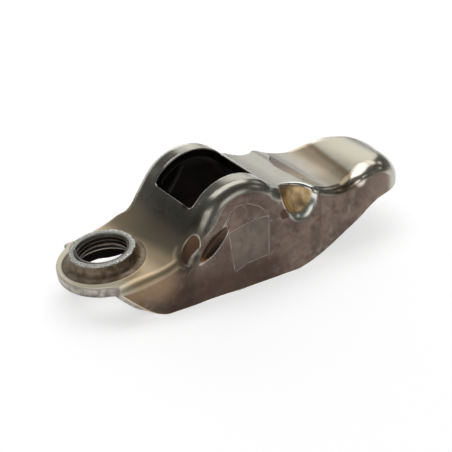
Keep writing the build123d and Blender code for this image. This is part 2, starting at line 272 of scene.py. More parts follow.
class Pressing:
    """The pressed sheet as distances to its faces, its trimmed edges and its features."""

    PAD_REACH, PAD_DROP, PAD_RADIUS, PAD_FILLET = 33, 9, 13, 1.6
    NOSE_CORNER, NOSE_SLACK = 8.3, 0.6
    WALL_LEAN, EAR_LEAN = 0.07, 0.12
    NEAR_SHOULDER = 1.5
    NEAR_EDGE, FAR_EDGE = 1.2, 0.4
    HUMP_FOOT, FRONT_FOOT = 0.9, 0.6
    FACET_SLANT, FACET_EDGE = radians(23), 0.3
    NEAR_TRIM, SADDLE_TRIM = 6, 0.5
    BUMP, BUMP_HEIGHT, BUMP_SPREAD = (28.1, -8.9, 2.3), 0.4, 2.2
    STEP_REACH, STEP_RADIUS, STEP_EDGE = 24.4, 8.9, 0.25
    STEP_START, STEP_LEVEL, STEP_FALL = 15.5, 3.75, 0.17
    STEP_END, STEP_RISE = 20, 0.6
    WINDOW_CORNER = 1.2
    EAR_SLANT, EAR_HALF_WIDTH, FAR_ARCH = 0.75, 12, 1.15
    LIP_REACH, LIP_RADIUS, LIP_FILLET = 1.1, 9.8, 0.8
    LENGTHS = (
        "sheet", "hump_radius", "hump_half_width", "hump_edge", "window_half_width", "cut_edge",
    )  # fmt: skip

    def __init__(self, sizes):
        for name in self.LENGTHS:
            setattr(self, name, getattr(sizes, name) / MM)
        self.window_angles = sizes.window_start, sizes.window_end

    def top(self, x, z):
        """The web from the side, with the convex pad that the valve's stem slides on."""
        pad = np.hypot(x - self.PAD_REACH, z + self.PAD_DROP) - self.PAD_RADIUS
        return join(WEB.distance(x, z), pad, self.PAD_FILLET)

    def past_trim(self, x, y):
        """How far out of the line where the facets begin. The near facet ends before the nose."""
        shift = self.NEAR_TRIM * ease(x, 30, 34.5) - self.SADDLE_TRIM * ease(x, 22, 25)
        return np.abs(y) - PAD_TRIM.at(x)[0] - shift * near_side(y)

    def facet(self, x, y, top):
        """The slanting facets that trim the long edges of the saddle and the pad."""
        return top * cos(self.FACET_SLANT) + self.past_trim(x, y) * sin(self.FACET_SLANT)

    def step(self, x, y, z):
        """The disc that sinks the crescent between the flat and the saddle."""
        floor = self.STEP_LEVEL - self.STEP_FALL * (x - self.STEP_START)
        floor = floor + self.STEP_RISE * np.maximum(x - self.STEP_END, 0)
        return np.maximum(np.hypot(x - self.STEP_REACH, y) - self.STEP_RADIUS, floor - z)

    def bump(self, x, y, z):
        """The low swelling below the near facet."""
        apart = sum((value - place) ** 2 for value, place in zip((x, y, z), self.BUMP))
        return self.BUMP_HEIGHT * np.exp(-apart / self.BUMP_SPREAD)

    def form(self, x, y, z):
        """Distance to the outside of the pressed form."""
        across = np.abs(y)
        near = near_side(y)
        lean = self.WALL_LEAN + self.EAR_LEAN * (1 - ease(x, -25, -12))
        nose = x - NOSE_REACH - self.NOSE_SLACK
        side = meet(WALL.distance(x, across), nose, self.NOSE_CORNER)
        side = side + lean * np.maximum(z + RIM_DROP, 0)
        top = self.top(x, z)
        web = meet(top, side, SHOULDER.at(x)[0] + self.NEAR_SHOULDER * ease(x, 33, 37) * near)
        web = meet(web, self.facet(x, y, top), self.FACET_EDGE)
        web = web - self.bump(x, y, z)
        web = meet(web, -self.step(x, y, z), self.STEP_EDGE)
        web = FRONT_SCOOP.sink(BACK_SCOOP.sink(web, x, y, z), x, y, z)
        barrel = np.hypot(x, np.maximum(z, 0)) - self.hump_radius
        edge = self.hump_edge + (self.NEAR_EDGE * near - self.FAR_EDGE) * ease(x, -3, -9)
        hump = meet(barrel, across - self.hump_half_width, edge)
        foot = self.HUMP_FOOT + self.FRONT_FOOT * ease(x, 3, -3)
        return CREASE.sink(join(web, hump, foot), x, y, z)

    def window(self, x, y, z):
        """The stud's window, between two planes through the fulcrum axis."""
        start, end = self.window_angles
        ends = np.maximum(sin(start) * x - cos(start) * z, cos(end) * z - sin(end) * x)
        opening = meet(ends, np.abs(y) - self.window_half_width, self.WINDOW_CORNER)
        return np.maximum(opening, -z)

    def trims(self, x, y, z):
        """What is cut off the pressed form: past the rims and the ears, and in the window."""
        level, slope, _ = RIM.at(x)
        slant = self.EAR_SLANT * ease(x, -18.5, -23) * (np.abs(y) - self.EAR_HALF_WIDTH)
        arch = self.FAR_ARCH * ease(y, 2, 8) * ease(x, -23, -17.5) * ease(x, -8, -12.5)
        rim = np.maximum((level + slant + arch - z) / np.sqrt(1 + slope**2), -RIM_DROP - z)
        rim = np.minimum(rim, x + EAR_REACH)
        _, reach, _ = Collar.around(x, y, z)
        lip = np.hypot(reach - self.LIP_REACH, y) - self.LIP_RADIUS
        end = join(-EAR_REACH - x, lip, self.LIP_FILLET)
        return np.maximum(np.maximum(rim, end), -self.window(x, y, z))

    def distance(self, x, y, z):
        """Distance to the whole sheet with its collar."""
        form = self.form(x, y, z)
        shell = np.maximum(form, -form - self.sheet)
        whole = meet(shell, self.trims(x, y, z), self.cut_edge)
        height, _, radius = Collar.around(x, y, z)
        ring = (1 - ease(radius, *Collar.RING)) * ease(height, *Collar.RING_HEIGHTS)
        whole = whole - Collar.RING_RISE * ring
        neck = np.maximum(radius - Collar.RADIUS, -height - Collar.HEIGHT - self.sheet)
        whole = join(whole, neck, Collar.FOOT_FILLET)
        trimmed = np.maximum(whole, height + Collar.TOP_TRIM)
        whole = np.where(radius < Collar.TOP_RADIUS, trimmed, whole)
        deep = np.clip((-Collar.FLARE_TOP - height) / Collar.FLARE_DEPTH, 0, Collar.FLARE_END)
        bore = Collar.BORE + Collar.FLARE * deep**2
        return meet(whole, bore - radius, Collar.BORE_EDGE)

    def marks(self, x, y, z):
        """How far points of the sheet lie from what their finish follows, in millimetres."""
        height, _, radius = Collar.around(x, y, z)
        below_foot = -height - Collar.HEIGHT
        return {
            "below_skin": np.where(radius < Collar.FOOT_RADIUS, below_foot, -self.form(x, y, z)),
            "from_edge": -self.trims(x, y, z),
            "from_window": self.window(x, y, z),
            "from_back_scoop": BACK_SCOOP.distance(x, y, z),
            "from_front_scoop": FRONT_SCOOP.distance(x, y, z),
            "from_crease": CREASE.distance(x, y, z),
            "from_step": self.step(x, y, z),
            "from_trim": self.past_trim(x, y),
            "from_arch_score": patch_distance(ARCH_SCORE, x, z),
            "from_tip_score": patch_distance(TIP_SCORE, x, z),
            "from_axis": radius,
            "collar_height": height,
        }


JUST_INSIDE = 0.001


def untangled(values):
    """Fills grid corners until no cell's face has just two, across from each other, inside."""
    inside = values < 0
    ahead, behind = slice(1, None), slice(None, -1)
    tangled = True
    while tangled:
        tangled = False
        for axis in range(3):
            flat = np.moveaxis(inside, axis, 0)
            a, b = flat[:, behind, behind], flat[:, ahead, behind]
            c, d = flat[:, behind, ahead], flat[:, ahead, ahead]
            one, other = a & d & ~b & ~c, b & c & ~a & ~d
            tangled = tangled or bool(one.any() or other.any())
            b |= one
            a |= other
    return np.where(inside & (values >= 0), -JUST_INSIDE, values)


def surface_cells(values, low, step):
    """A mesh of quads where values on a grid change sign, with a point in each crossed cell."""
    inside = values < 0
    cells = tuple(size - 1 for size in values.shape)
    corners = [(i, j, k) for i in (0, 1) for j in (0, 1) for k in (0, 1)]

    def shifted(array, corner):
        return array[tuple(slice(shift, shift + size) for shift, size in zip(corner, cells))]

    count = sum(shifted(inside, corner).astype(np.int8) for corner in corners)
    crossed = np.argwhere((count > 0) & (count < 8))
    index = np.full(cells, -1)
    index[tuple(crossed.T)] = np.arange(len(crossed))
    total = np.zeros((len(crossed), 3))
    hits = np.zeros(len(crossed))
    for first in corners:
        for axis in range(3):
            if first[axis]:
                continue
            second = tuple(value + (place == axis) for place, value in enumerate(first))
            a = values[tuple((crossed + first).T)]
            b = values[tuple((crossed + second).T)]
            hit = (a < 0) != (b < 0)
            share = np.where(hit, a / np.where(hit, a - b, 1), 0)
            point = np.array(first) + share[:, None] * (np.array(second) - np.array(first))
            total[hit] += point[hit]
            hits[hit] += 1
    points = low + (crossed + total / hits[:, None]) * step
    quads = []
    for axis in range(3):
        ahead = np.eye(3, dtype=int)[axis]
        a = shifted(inside, (0, 0, 0))
        crossing = a != shifted(inside, tuple(ahead))
        second, third = np.roll(np.eye(3, dtype=int), -axis - 1, axis=0)[:2]
        for beside in (second, third):
            border = [slice(None)] * 3
            border[int(np.argmax(beside))] = 0
            crossing[tuple(border)] = False
        at = np.argwhere(crossing)
        ring = (at, at - second, at - second - third, at - third)
        quad = np.stack([index[tuple(place.T)] for place in ring], axis=1)
        outward = a[tuple(at.T)]
        quad[~outward] = quad[~outward, ::-1]
        quads.append(quad)
    return points, np.concatenate(quads)


def gradient(field, points, reach=0.02):
    """The direction in which a field grows at each point, and its slope."""
    slopes = []
    for axis in np.eye(3) * reach:
        ahead = field(*(points + axis).T)
        behind = field(*(points - axis).T)
        slopes.append((ahead - behind) / (2 * reach))
    return np.stack(slopes, axis=1)


def settle(field, points, step, rounds=3, least_steepness=0.2):
    """Moves points onto the surface of a field, and returns them with their normals."""
    for _ in range(rounds):
        slope = gradient(field, points)
        steepness = np.maximum((slope**2).sum(axis=1), least_steepness)
        move = field(*points.T) / steepness
        points = points - np.clip(move, -step / 3, step / 3)[:, None] * slope
    slope = gradient(field, points)
    return points, slope / np.linalg.norm(slope, axis=1)[:, None]


# Meshes and objects


def add_object(name, data):
    """Puts a mesh, a lamp or a camera in the scene."""
    thing = bpy.data.objects.new(name, data)
    bpy.context.scene.collection.objects.link(thing)
    return thing


def add_mesh(name, points, faces, finish):
    """Makes a smooth mesh from points in metres, with its finish, and puts it in the scene."""
    mesh = bpy.data.meshes.new(name)
    mesh.from_pydata(points.tolist(), [], faces.tolist())
    mesh.update()
    mesh.shade_smooth()
    mesh.materials.append(finish)
    return add_object(name, mesh)


def add_mark(piece, name, values):
    """Writes a value at each point of a piece for its finish to read."""
    attribute = piece.data.attributes.new(name, "FLOAT", "POINT")
    attribute.data.foreach_set("value", values.astype(np.float32))


def seat(piece):
    """Seats a finished piece on the arm's body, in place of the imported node."""
    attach(piece, BODY)
    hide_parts(NODE)


# Node trees


def rgb(red, green, blue):
    """A colour as it looks on screen, from 0 to 255, as light."""
    shares = (value / 255 for value in (red, green, blue))
    return tuple(
        ((share + 0.055) / 1.055) ** 2.4 if share > 0.04045 else share / 12.92 for share in shares
    )


class Wire:
    """A socket of a node tree, which plain arithmetic leads through Math nodes."""

    def __init__(self, tree, socket):
        self.tree = tree
        self.socket = socket

    def math(self, operation, *values):
        """A Math node on the wire and the values after it."""
        inputs = dict(enumerate((self, *values)))
        return self.tree.node("ShaderNodeMath", inputs, {"operation": operation})

    __add__ = __radd__ = partialmethod(math, "ADD")
    __sub__ = partialmethod(math, "SUBTRACT")
    __rsub__ = partialmethod(math, "MULTIPLY_ADD", -1)
    __mul__ = __rmul__ = partialmethod(math, "MULTIPLY")
    __truediv__ = partialmethod(math, "DIVIDE")
    __pow__ = partialmethod(math, "POWER")

    def ease(self, start, stop):
        """Goes smoothly from 0 at start to 1 at stop, whichever of them is the lower."""
        values = {"Value": self, "From Min": start, "From Max": stop}
        return self.tree.node("ShaderNodeMapRange", values, {"interpolation_type": "SMOOTHSTEP"})

    def span(self, start, full, fade, end):
        """Rises smoothly from 0 at start to 1 at full, and sinks again from fade to end."""
        return self.ease(start, full) * self.ease(end, fade)


class Tree:
    """A node tree whose nodes all come from one method."""

    def __init__(self, tree):
        self.tree = tree
        tree.nodes.clear()

    def node(self, kind, values=None, settings=None, output=0):
        """Adds a node with its sockets' values or wires and its settings. Gives one output."""
        node = self.tree.nodes.new(kind)
        for name, setting in (settings or {}).items():
            setattr(node, name, setting)
        for key, value in (values or {}).items():
            if isinstance(value, Wire):
                self.tree.links.new(value.socket, node.inputs[key])
            else:
                node.inputs[key].default_value = value
        return Wire(self, node.outputs[output]) if node.outputs else None

    def mix(self, share, first, second):
        """A colour between two colours."""
        first, second = (
            (*colour, 1) if isinstance(colour, tuple) else colour for colour in (first, second)
        )
        values = {0: share, 6: first, 7: second}
        return self.node("ShaderNodeMix", values, {"data_type": "RGBA"}, 2)


class Paint(Tree):
    """A material and its nodes."""

    def __init__(self, name):
        self.material = bpy.data.materials.new(name)
        self.material.use_nodes = True
        super().__init__(self.material.node_tree)

    def end(self, shader):
        """Ends the tree in a shader, and gives the material."""
        self.node("ShaderNodeOutputMaterial", {"Surface": shader})
        return self.material


class Steel(Paint):
    """A steel that knows each point's place on the arm, in millimetres from the fulcrum axis."""

    RELIEF = 0.05 * MM
    CLOUD_ROUGHNESS = 0.55

    def __init__(self, name):
        super().__init__(name)
        metres = self.node("ShaderNodeTexCoord", output="Object")
        values = {"Vector": metres, "Location": tuple(-FULCRUM), "Scale": (1 / MM,) * 3}
        self.place = self.node("ShaderNodeMapping", values)
        self.x, self.y, self.z = (self.part(self.place, axis) for axis in "XYZ")

    def part(self, vector, axis):
        """One of a vector's three numbers."""
        return self.node("ShaderNodeSeparateXYZ", {"Vector": vector}, output=axis)

    def mark(self, name):
        """A mark that the mesh carries at its points."""
        return self.node("ShaderNodeAttribute", None, {"attribute_name": name}, "Fac")

    def near(self, **middle):
        """The distance from a place, along the axes that it names."""
        squares = ((getattr(self, axis) - value) ** 2 for axis, value in middle.items())
        return sum(squares) ** 0.5

    def stretched(self, *scale):
        """The place on the piece, scaled along each axis."""
        return self.node("ShaderNodeMapping", {"Vector": self.place, "Scale": scale})

    def speckle(self, size, detail=3, distortion=0, place=None):
        """Cloudy noise from 0 to 1, with clouds of a size in millimetres."""
        values = {"Vector": place or self.place, "Scale": 1 / size, "Detail": detail}
        values |= {"Roughness": self.CLOUD_ROUGHNESS, "Distortion": distortion}
        return self.node("ShaderNodeTexNoise", values)

    def layers(self, base, *layers):
        """A colour with others laid over it, each where its mask is 1."""
        for mask, colour in layers:
            base = self.mix(mask, base, colour)
        return base

    def metal(self, colour, roughness, relief, strength):
        """Ends the tree in a metal with the given colour, roughness and relief."""
        values = {"Height": relief, "Distance": self.RELIEF, "Strength": strength}
        bump = self.node("ShaderNodeBump", values)
        values = {"Base Color": colour, "Roughness": roughness, "Metallic": 1, "Normal": bump}
        return self.end(self.node("ShaderNodeBsdfPrincipled", values))


# Tones of the steel, beside those that a user would change
CROWN_STREAK = rgb(150, 148, 134)
SADDLE_STAIN = rgb(134, 124, 104)
PAD_STAIN = rgb(156, 152, 138)
PAD_FRONT = rgb(128, 104, 76)
PAD_SHINE = rgb(212, 204, 184)
# Painted highlight on the neck beside the collar
NECK_HIGHLIGHT = rgb(220, 198, 162)
# Painted shade on the neck in front of the hump
NECK_PAINTED_SHADE = rgb(102, 96, 84)
LIP = rgb(226, 220, 200)
WALL_CLOUD = rgb(96, 84, 76)
WALL_PIT = rgb(84, 62, 58)
WALL_RUB = rgb(150, 136, 130)
# Painted shade low on the walls, towards the floor
WALL_PAINTED_SHADE = rgb(74, 58, 50)
WALL_PUNCHED = rgb(106, 102, 94)
WALL_NOSE = rgb(146, 130, 118)
# Painted highlight on the front fold by the ear
WALL_FOLD_HIGHLIGHT = rgb(186, 156, 122)
SCOOP_STRIPE = rgb(176, 146, 108)
# Painted shade on the back scoop's upper side, towards the hump
SCOOP_PAINTED_SHADE = rgb(96, 72, 54)
# Painted highlight on the back scoop's rim
SCOOP_RIM_HIGHLIGHT = rgb(240, 240, 232)
FRONT_SCOOP_TINT = rgb(126, 100, 80)
CREASE_DEPTH = rgb(76, 52, 36)
CREASE_FOOT = rgb(176, 122, 78)
# Painted highlight on the rims of the crease and the front scoop
DENT_RIM_HIGHLIGHT = rgb(220, 214, 204)
STEP_FAR = rgb(84, 64, 48)
STEP_NEAR = rgb(156, 128, 98)
# The ground facets' bright steel, painted paler as a highlight
FACET_HIGHLIGHT = rgb(232, 228, 216)
FACET_SPECK = rgb(56, 50, 42)
COLLAR_RUST = rgb(142, 127, 110)
COLLAR_DARK_RUST = rgb(114, 96, 78)
COLLAR_FOOT = rgb(84, 78, 66)
# Painted highlight on the bump below the near facet
BUMP_HIGHLIGHT = rgb(244, 232, 216)
RUST = rgb(70, 42, 32)
HAIRLINE = rgb(190, 182, 170)
CUT_SHADE = rgb(140, 135, 127)
# Painted shade on the cut faces inside the window
WINDOW_PAINTED_SHADE = rgb(26, 21, 18)
# Painted shade on the sheet's underside
INSIDE_PAINTED_SHADE = rgb(20, 16, 14)
# Painted shade in the collar's bore
BORE_PAINTED_SHADE = rgb(9, 8, 7)
BURR, BURR_SHADE = rgb(176, 176, 169), rgb(132, 132, 126)
BURR_SPECK = rgb(244, 244, 236)
THREAD, THREAD_SHINE = rgb(84, 78, 72), rgb(110, 102, 94)


class PressedSteel(Steel):
    """Burnished on top, heat-tinted in the hollows, brown on the walls, with painted shade inside
    and painted highlights.
    """

    def __init__(self, colours):
        super().__init__("pressed_steel")
        self.colours = colours
        self.clouds = self.speckle(5, detail=4)
        self.patches = self.speckle(1.7, detail=5, distortion=0.5)
        self.grit = self.speckle(0.45)
        self.grain = self.speckle(0.16, detail=2)
        self.streaks = self.speckle(1, detail=4, place=self.stretched(0.25, 5, 2.5))
        normal = self.node("ShaderNodeNewGeometry", output="Normal")
        self.aside = self.part(normal, "Y").math("ABSOLUTE")
        self.on_wall = self.aside.ease(0.9, 0.98)
        self.below = self.mark("below_skin")
        self.from_axis = self.mark("from_axis")
        self.collar_height = self.mark("collar_height")
        self.crease = self.mark("from_crease")
        self.dent = self.mark("from_front_scoop")
        self.hollows = self.mark("from_back_scoop").math("MINIMUM", self.dent)
        self.in_front = self.x.ease(-9.5, -12.5)
        self.on_lip = self.x.ease(-22, -26)
        self.in_crease = self.crease.ease(0.12, 0)

    def tone(self, name):
        """A colour that a user may change."""
        return tuple(getattr(self.colours, name))

    def top(self):
        """Streaks along the arm, straw tints in the saddle and on the neck, painted highlight and
        shade on the neck.
        """
        x, y, clouds = self.x, self.y, self.clouds
        across = x - y * 0.1
        neck = (x + y * 0.12 + clouds * 2).ease(-15.5, -13) * x.ease(-7, -9.5)
        # The neck's painted shade is stronger on the near side
        shade_share = y.ease(10, 0).math("MULTIPLY_ADD", 0.4, 0.4)
        tint = self.tone("tint")
        return self.layers(
            self.tone("crown"),
            (self.streaks.ease(0.35, 0.7) * 0.35, CROWN_STREAK),
            (across.span(20.5, 26, 27.4, 28.4) * (0.45 + 0.5 * clouds), tint),
            (x.span(20, 22, 26, 29) * y.ease(-1, -7) * 0.8, SADDLE_STAIN),
            (x.ease(30, 34) * y.ease(-2, 5) * 0.45, PAD_STAIN),
            (across.span(26.5, 27.4, 27.6, 28.4) * 0.6, PAD_FRONT),
            (across.ease(27.8, 29) * x.ease(37, 34) * 0.7, PAD_SHINE),
            (self.in_front * (0.6 + 0.4 * clouds), tint),
            # Painted highlight on the neck beside the collar
            (x.ease(-16, -19) * 0.7, NECK_HIGHLIGHT),
            # Painted shade on the neck in front of the hump
            (neck * shade_share, NECK_PAINTED_SHADE),
            (self.on_lip * 0.95, LIP),
        )

    def wall(self):
        """Brown clouds with dark pits and pale rubbed spots, greyer where the punch sat, with
        painted shade low down and a painted highlight on the front fold.
        """
        x, z, clouds, patches = self.x, self.z, self.clouds, self.patches
        # Painted shade: the walls darken towards the floor
        low = (z + clouds * 3).ease(-1, -6.5) * x.span(-21, -15, 4, 12)
        return self.layers(
            self.mix(clouds.ease(0.35, 0.65), self.tone("wall"), WALL_CLOUD),
            (patches.ease(0.5, 0.72) * 0.55, WALL_PIT),
            (patches.ease(0.46, 0.3) * 0.4, WALL_RUB),
            # Painted shade low on the walls
            (low * 0.75, WALL_PAINTED_SHADE),
            (self.mark("from_tip_score").ease(0.1, -0.1) * 0.4, WALL_PUNCHED),
            (x.ease(28, 36) * 0.6, WALL_NOSE),
            # Painted highlight on the front fold by the ear
            (x.ease(-13, -18) * z.ease(-10, -5) * 0.6, WALL_FOLD_HIGHLIGHT),
        )

    def gold(self):
        """Straw and brown in the hollows that the punch pressed hard, with painted shade on the
        back scoop's upper side.
        """
        x, z = self.x, self.z
        stripes = self.speckle(1.6, detail=2, place=self.stretched(1.6, 0.5, 0.8))
        return self.layers(
            self.tone("scoop"),
            (stripes.ease(0.3, 0.7) * 0.8, SCOOP_STRIPE),
            # Painted shade on the back scoop's upper side
            ((z - x * 0.5).ease(-4.5, -2) * 0.8, SCOOP_PAINTED_SHADE),
            (x.ease(0, -3), FRONT_SCOOP_TINT),
        )

    def pressed_marks_and_painted_light(self, outside):
        """Lays the hollows, the step and the facets over the outside's colour, with painted
        highlights on the hollows' rims and the facets.
        """
        x, y, z, aside, hollows = self.x, self.y, self.z, self.aside, self.hollows
        slanting = x - z
        # Painted highlights on the rims of the crease and the front scoop, on their rear sides
        crease_highlight = self.crease.span(0.02, 0.08, 0.12, 0.2)
        crease_highlight = crease_highlight * slanting.ease(-7.3, -6.3) * z.ease(2.2, 0.8)
        dent_highlight = self.dent.span(0.02, 0.08, 0.15, 0.25) * (x - z * 0.3).ease(-12.2, -11.2)
        in_step = self.mark("from_step").ease(0.12, 0.02) * x.ease(21, 18.5)
        trim = self.mark("from_trim")
        facet = trim.ease(-0.1, 0.15) * aside.ease(0.75, 0.6) * x.span(22, 24.5, 34.5, 36)
        specks = trim.span(-0.35, -0.1, 0, 0.15) * self.grit.ease(0.52, 0.62)
        specks = specks * x.ease(22, 25) * aside.ease(0.7, 0.5)
        return self.layers(
            outside,
            # Painted highlight on the back scoop's rim
            (hollows.span(0.02, 0.12, 0.5, 0.7) * x.ease(10, 13) * 0.9, SCOOP_RIM_HIGHLIGHT),
            (hollows.ease(0.12, 0.02), self.gold()),
            (self.in_crease * slanting.ease(-8.8, -6.8) * 0.9, CREASE_DEPTH),
            (self.in_crease * z.ease(-2.2, -3.2) * 0.8, CREASE_FOOT),
            # Painted highlight on the rims of the crease and the front scoop
            (crease_highlight.math("MAXIMUM", dent_highlight) * 0.7, DENT_RIM_HIGHLIGHT),
            (in_step * 0.9, self.mix(y.ease(5, -6), STEP_FAR, STEP_NEAR)),
            # Ground facets, painted paler as a highlight
            (facet * 0.8, FACET_HIGHLIGHT),
            (specks * 0.8, FACET_SPECK),
        )

    def wear_and_highlight_marks(self, outside, score):
        """Lays the collar's brown side, a painted highlight on the bump, rust and hairlines over
        the outside.
        """
        z, patches, height = self.z, self.patches, self.collar_height
        rust = self.mix(patches.ease(0.4, 0.6), COLLAR_RUST, COLLAR_DARK_RUST)
        on_collar = self.from_axis.ease(7.75, 7.6) * height.ease(-3.4, -2.9)
        foot = self.from_axis.span(7.4, 7.6, 7.7, 7.9) * height.ease(-3.6, -3)
        behind = (self.x - 8.9) ** 2 + (z - 1) ** 2 * 1.6
        behind = (behind**0.5 - patches * 2.2).ease(0.3, -0.1)
        behind = behind * self.aside.ease(0.6, 0.9) * 0.8
        at_window = self.near(x=-8, y=-4.4) - patches * 1.6
        at_window = at_window.ease(0.4, -0.1) * z.ease(4, 5)
        return self.layers(
            outside,
            (on_collar, rust),
            (foot * 0.6, COLLAR_FOOT),
            # Painted highlight on the bump
            (self.near(x=28.1, y=-9, z=2.4).ease(2, 1), BUMP_HIGHLIGHT),
            (behind.math("MAXIMUM", at_window), RUST),
            (score * 0.45, HAIRLINE),
        )

    def hairlines(self):
        """Where the punch's hairlines show."""
        arch = self.mark("from_arch_score").math("ABSOLUTE")
        tip = self.mark("from_tip_score").math("ABSOLUTE")
        lines = arch.math("MINIMUM", tip).ease(0.12, 0.03) * self.aside.ease(0.8, 0.95)
        return lines * self.below.ease(0.4, 0.2) * self.patches.ease(0.36, 0.6)

    def made(self):
        """The finished material."""
        patches, below = self.patches, self.below
        score = self.hairlines()
        outside = self.mix(self.on_wall, self.top(), self.wall())
        outside = self.wear_and_highlight_marks(self.pressed_marks_and_painted_light(outside), score)
        cut = self.mix(patches.ease(0.35, 0.65), self.tone("cut"), CUT_SHADE)
        # Painted shade: the window's cut faces are near black
        cut = self.mix(self.mark("from_window").ease(0.5, 0.2), cut, WINDOW_PAINTED_SHADE)
        # Painted shade: the underside is near black
        inside = self.mix(self.clouds.ease(0.4, 0.6), self.tone("inside"), INSIDE_PAINTED_SHADE)
        under = below.ease(1.2, 1.7)
        on_cut = self.mark("from_edge").ease(0.12, 0.04) * below.ease(0.08, 0.3)
        # Painted shade: the bore is near black
        in_bore = self.from_axis.ease(5.45, 5.25) * self.collar_height.ease(-2.6, -2.9)
        colour = self.layers(outside, (under, inside), (on_cut, cut), (in_bore, BORE_PAINTED_SHADE))

        rough = 0.25 + 0.14 * self.on_wall + 0.12 * (patches - 0.5) + 0.25 * under
        rough = rough + 0.2 * self.hollows.ease(0.12, 0.02) + 0.12 * self.on_lip
        rough = rough + 0.18 * self.in_front + 0.15 * self.in_crease
        rough = rough + 0.22 * self.dent.ease(1.4, 0.3)
        relief = (self.grain * 0.4 + self.grit * 0.4 + patches * 0.4) * (0.35 + 0.65 * self.on_wall)
        relief = relief + self.streaks * 0.1 - score * 1.2
        return self.metal(colour, rough, relief, strength=0.35)


def burred_steel():
    """The collar's torn upper edge, grey with pale specks at the outside."""
    steel = Steel("burred_steel")
    chips = steel.speckle(0.3)
    speckled = chips.ease(0.48, 0.62) * steel.mark("from_axis").ease(5.45, 5.75)
    colour = steel.mix(chips.ease(0.6, 0.4) * 0.4, BURR, BURR_SHADE)
    colour = steel.mix(speckled, colour, BURR_SPECK)
    return steel.metal(colour, 0.36 + 0.2 * chips, chips, strength=0.7)


def threaded_steel():
    """The cut thread, dark and oily."""
    steel = Steel("threaded_steel")
    chips = steel.speckle(0.6)
    colour = steel.mix(chips.ease(0.35, 0.65), THREAD, THREAD_SHINE)
    return steel.metal(colour, 0.34 + 0.1 * chips, chips, strength=0.4)


# Sizes and colours that a user would change


def size(name, description, default, **kind):
    """A number that a user may change."""
    return FloatProperty(name=name, description=description, default=default, **kind)


def length(name, description, default, precision=4):
    """A length in metres."""
    return size(name, description, default, unit="LENGTH", precision=precision)


def angle(name, description, degrees):
    """An angle."""
    return size(name, description, radians(degrees), subtype="ANGLE")


def glow(name, description, default):
    """A lamp's radiance."""
    return size(name, description, default, min=0)


def colour(name, description, *shades):
    """A colour that a user may change."""
    shade = rgb(*shades)
    return FloatVectorProperty(name=name, description=description, default=shade, subtype="COLOR")


class ShellSizes(bpy.types.PropertyGroup):
    """Sizes of the pressed sheet"""

    sheet: length("Sheet", "Thickness of the pressed sheet", 0.002)
    hump_radius: length("Hump Radius", "Radius over the fulcrum", 0.0098)
    hump_half_width: length("Hump Half Width", "Half the hump's width", 0.0114)
    hump_edge: length("Hump Edge", "Radius of the hump's long edges", 0.0028)
    window_half_width: length("Window Half Width", "Half the stud window's width", 0.0063)
    window_start: angle("Window Start", "Angle of the window's rear edge", 50)
    window_end: angle("Window End", "Angle of the window's front edge", 149.5)
    cut_edge: length("Cut Edge", "Radius of the trimmed edges", 0.0003, precision=5)
    mesh_step: length("Mesh Step", "Spacing of the sheet's mesh", 0.00034, precision=5)


class CollarSizes(bpy.types.PropertyGroup):
    """Sizes of the collar's thread and torn edge"""

    radius: length("Radius", "Outer radius of the collar's torn edge", 0.0061)
    thread_radius: length("Thread Radius", "Radius at the thread's roots", 0.005)
    pitch: length("Pitch", "Pitch of the thread", 0.00075, precision=5)
    depth: length("Depth", "Depth of the thread's ridge", 0.000406, precision=6)
    thread_length: length("Thread Length", "Length of the cut thread", 0.0027)
    burr: length("Burr", "Height of the torn edge's bumps", 0.00011, precision=6)
    burr_seed: IntProperty(
        name="Burr Seed", description="Which pattern of bumps the torn edge has", default=3, min=0
    )


class Colours(bpy.types.PropertyGroup):
    """The steel's main colours"""

    crown: colour("Crown", "Burnished steel on top", 182, 178, 166)
    tint: colour("Heat Tint", "Straw tint of heated steel", 178, 156, 122)
    wall: colour("Wall", "Brown oxide on the walls", 122, 105, 95)
    scoop: colour("Scoop", "Tinted steel in the scoops", 248, 220, 168)
    cut: colour("Cut Edge", "Sheared edge of the sheet", 192, 187, 178)
    # Painted shade: the underside is coloured near black
    inside: colour("Inside", "Dark underside of the sheet", 28, 22, 19)


class StageSizes(bpy.types.PropertyGroup):
    """The floor's size and the lamps' glow"""

    floor_width: length("Floor Width", "Width of the pale floor", 6.0)
    overhead: glow("Overhead Glow", "Radiance of the lamp above", 1.5)
    rear: glow("Rear Glow", "Radiance of the lamps behind", 1.0)
    right: glow("Right Glow", "Radiance of the lamps in front and at the right", 0.9)
    left: glow("Left Glow", "Radiance of the lamp at the left", 1.1)


class ROCKER_OT_press_sheet(bpy.types.Operator):
    """Makes the pressed sheet with its hump, window, scoops, pad and lip"""

    bl_idname = "rocker.press_sheet"
    bl_label = "Press Sheet"

    LOW, HIGH = np.array(((-33, -13, -12), (43, 13, 10.8)))

    def execute(self, context):
        sizes = context.scene.rocker_shell
        pressing = Pressing(sizes)
        step = sizes.mesh_step / MM
        axes = [np.arange(start, stop, step) for start, stop in zip(self.LOW, self.HIGH)]
        grid = np.meshgrid(*axes, indexing="ij", sparse=True)
        points, quads = surface_cells(untangled(pressing.distance(*grid)), self.LOW, step)
        points, normals = settle(pressing.distance, points, step)
        finish = PressedSteel(context.scene.rocker_colours).made()
        piece = add_mesh("pressed_sheet", (points + FULCRUM) * MM, quads, finish)
        for name, values in pressing.marks(*points.T).items():
            add_mark(piece, name, values)
        piece.data.normals_split_custom_set_from_vertices(normals.tolist())
        seat(piece)
        return {"FINISHED"}


# The thread's ridge, as shares of its pitch, and how many straight runs each of its turns has
RIDGE_FOOT, RIDGE_CREST = 0.875, 0.25
RIDGE_RUNS = 96


